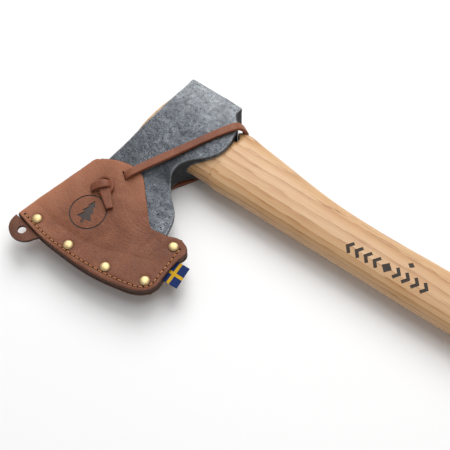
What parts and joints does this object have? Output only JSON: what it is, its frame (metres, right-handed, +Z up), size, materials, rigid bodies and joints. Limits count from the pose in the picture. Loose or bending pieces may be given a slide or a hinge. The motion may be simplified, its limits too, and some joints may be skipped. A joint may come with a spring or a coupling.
{
  "type": "felling axe",
  "caption": "Felling axe lying on its side: forged bearded head, long curved ash handle, and a folded leather sheath, riveted and stitched, held on by a lace behind the eye.",
  "frame": {"origin": "on the floor, under the middle of the object's box, the axe lying on its side", "axes": "+X along the handle from the head to the grip, +Y from the bit to the poll, +Z up out of the cheek"},
  "size_m": [0.7332, 0.2154, 0.0422],
  "materials": {
    "forged_steel": "forged, oiled",
    "bright_steel": "satin",
    "ash_wood": "oiled",
    "wedge_wood": "raw",
    "leather": "waxed",
    "dark_leather": "waxed",
    "lace_leather": "waxed",
    "brass": "polished",
    "thread": "waxed thread",
    "ribbon": "woven"
  },
  "bodies": {
    "axe": {"axe_head": "forged_steel", "handle": "ash_wood", "eye_wedge": "wedge_wood", "steel_wedge": "bright_steel"},
    "sheath": {"sheath_leather": "leather", "welt": "leather", "hanging_tab": "dark_leather", "thread_front": "thread", "thread_back": "thread", "rivet_cap_1": "brass", "rivet_cap_2": "brass", "rivet_cap_3": "brass", "rivet_cap_4": "brass", "rivet_cap_5": "brass", "rivet_back_1": "brass", "rivet_back_2": "brass", "rivet_back_3": "brass", "rivet_back_4": "brass", "rivet_back_5": "brass", "woven_tag": "ribbon", "lace_knot": "lace_leather", "lace_end_back": "lace_leather"},
    "lace": {"lace_loop": "lace_leather"}
  },
  "joints": [
    {"name": "sheath_slide", "type": "slide", "parent": "axe", "child": "sheath", "axis": [-0.2347, -0.9721, 0], "range_m": [0, 0.19]},
    {"name": "lace_swing", "type": "hinge", "parent": "sheath", "child": "lace", "pos_m": [-0.3118, -0.0113, 0.0211], "axis": [0, 0, 1], "range_deg": [0, 62], "deforming": ["lace_loop"]}
  ]
}
